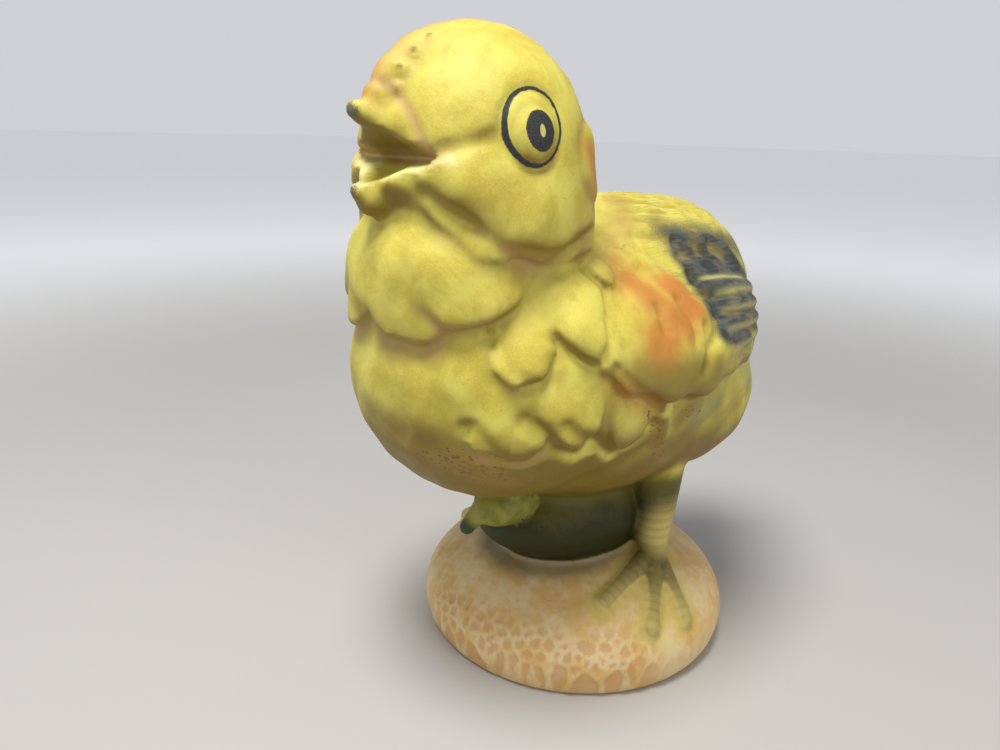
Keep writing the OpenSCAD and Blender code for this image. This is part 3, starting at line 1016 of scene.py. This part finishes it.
skin_obj.data.materials.clear()
skin_obj.data.materials.append(skin_mat)
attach(skin_obj, "toy")
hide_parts("body_skin")

# %% [markdown]
# ## Plug and whistle
#
# These keep the CAD's own shapes, which are plain turned and stamped parts. Their finish is old:
# grey rubber with a bloom, a drawn aluminium cup with spotted oxide, and brass gone brown.

# %% Plug and whistle materials
def cad_material(node, name, build):
    m, g, at = material(name)
    build(g, at)
    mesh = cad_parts[node].data
    mesh.materials.clear()
    mesh.materials.append(m)
    print(node, "->", name)


def grey_rubber(g, at):
    surface = g.use(matt, {"Vector": at})
    bloom = g.step(g.noise(at, 0.3, 5, 0.6), 0.42, 0.66)
    colour = g.mix(g.times(bloom, 0.6), paint(74, 66, 58), paint(134, 122, 104))
    colour = g.mix(g.times(g.step(surface["Mottle"], 0.52, 0.66), 0.4), colour, paint(46, 40, 34))
    finish_material(g, Base_Color=colour, Roughness=g.step(bloom, 0, 1, 0.55, 0.8),
                    Normal=g.bump(surface["Height"], 0.001, 0.5))


def worn(fresh, old, rough, stretch):
    def build(g, at):
        wear = g.use(metal, {"Vector": at, "Stretch": stretch})
        colour = g.mix(wear["Tarnish"], paint(*fresh), paint(*old))
        uneven = g.plus(g.times(wear["Tarnish"], 0.28), g.times(wear["Lines"], 0.12))
        roughness = g.plus(rough, uneven)
        finish_material(g, Base_Color=colour, Roughness=roughness,
                        Metallic=g.less(1.0, g.times(wear["Tarnish"], 0.35)),
                        Normal=g.bump(wear["Height"], 0.0003, 0.5))
    return build


aluminium = (196, 198, 200), (120, 118, 112), 0.26
brass = (204, 164, 92), (110, 84, 48), 0.24
bronze = (196, 140, 92), (120, 78, 52), 0.22
cad_material("sole_plug", "plug_rubber", grey_rubber)
cad_material("whistle_cup", "whistle_cup_metal", worn(*aluminium, (1.0, 1.0, 6.0)))
cad_material("spacer_ring", "spacer_metal", worn(*aluminium, (1.0, 1.0, 8.0)))
cad_material("whistle_cap", "whistle_cap_metal", worn(*aluminium, (4.0, 1.0, 1.0)))
cad_material("reed_plate", "plate_brass", worn(*brass, (1.0, 7.0, 1.0)))
cad_material("reed", "reed_bronze", worn(*bronze, (7.0, 1.0, 1.0)))
cad_material("reed_rivet", "rivet_brass", worn(*brass, (2.0, 2.0, 2.0)))

# %% [markdown]
# ## Floor, light and camera
#
# A pale floor, a broad soft lamp overhead and a little in front, and a weaker fill on each side of
# the view. Two tricks keep the backdrop plain: the floor grows paler far from the toy and glows
# faintly there, and the sky looks brighter to the camera than the light that it gives. The camera
# stands at the front left of the toy, level with its face, and looks slightly down at it.

# %% Stage
floor = bpy.data.objects.new("floor", bpy.data.meshes.new("floor"))
FLOOR_HALF = 12.0
corners = [(x * FLOOR_HALF, y * FLOOR_HALF, 0) for x, y in ((-1, -1), (1, -1), (1, 1), (-1, 1))]
floor.data.from_pydata(corners, [], [(0, 1, 2, 3)])
bpy.context.scene.collection.objects.link(floor)
floor_mat, g, at = material("floor")
tone = g.noise(at, 0.004, 3)
PALE_FROM, PALE_AT = 250.0, 900.0       # mm from the toy
distance = g.new("ShaderNodeVectorMath", {0: at}, operation="LENGTH").outputs["Value"]
away = g.step(distance, PALE_FROM, PALE_AT)
near_floor = g.mix(tone, (0.50, 0.49, 0.47, 1), (0.56, 0.55, 0.53, 1))
finish_material(g, Base_Color=g.mix(away, near_floor, (0.86, 0.86, 0.87, 1)), Roughness=0.6,
                Emission_Color=(0.84, 0.86, 0.90, 1), Emission_Strength=g.times(away, 0.38))
floor.data.materials.append(floor_mat)
floor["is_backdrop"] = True

bpy.context.scene.view_settings.view_transform = "Standard"
world = bpy.data.worlds.new("soft")
bpy.context.scene.world = world
world.use_nodes = True
sky = Graph(world.node_tree)
seen = sky.new("ShaderNodeLightPath").outputs["Is Camera Ray"]
background = world.node_tree.nodes["Background"].inputs
SKY_LIGHT, SKY_EXTRA = 0.36, 0.38
sky.set(background["Color"], (0.84, 0.86, 0.90, 1))
sky.set(background["Strength"], sky.math("MULTIPLY_ADD", seen, SKY_EXTRA, SKY_LIGHT))


def lamp(name, place, target, size, watts, tint=(1, 1, 1)):
    light = bpy.data.lights.new(name, "AREA")
    light.shape, light.size, light.energy, light.color = "DISK", size, watts, tint
    o = bpy.data.objects.new(name, light)
    o.location = place
    o.rotation_mode = "QUATERNION"
    o.rotation_quaternion = (Vector(target) - Vector(place)).to_track_quat("-Z", "Y")
    bpy.context.scene.collection.objects.link(o)


CENTRE = (0, 0, 0.08)
lamp("key", (0.03, -0.20, 0.80), CENTRE, 0.32, 6.0, (1, 0.98, 0.94))
lamp("left", (-0.35, -0.7, 0.25), CENTRE, 0.4, 0.6, (0.96, 0.98, 1))
lamp("right", (0.8, 0.0, 0.45), CENTRE, 0.5, 1.5, (1, 0.97, 0.94))

camera = bpy.data.objects.new("camera", bpy.data.cameras.new("camera"))
camera.data.lens = 27.7
camera.data.sensor_width = 36.0
camera.data.clip_start = 0.01
RIGHT, UP, AHEAD = (0.6361, 0.7712, 0.0268), (-0.2483, 0.1717, 0.9533), (-0.7306, 0.6130, -0.3007)
PLACE = (0.1467, -0.1516, 0.1410)
rows = [(RIGHT[i], UP[i], -AHEAD[i], PLACE[i]) for i in range(3)]
camera.matrix_world = Matrix(rows + [(0, 0, 0, 1)])
bpy.context.scene.collection.objects.link(camera)
bpy.context.scene.camera = camera

# %% Sizes
visual_box = [[float(v) for v in corner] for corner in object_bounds()]
box_in_mm = [[round(v / MM, 1) for v in corner] for corner in visual_box]
print("visual box in mm:", box_in_mm, round(time.time() - START, 1), "s")
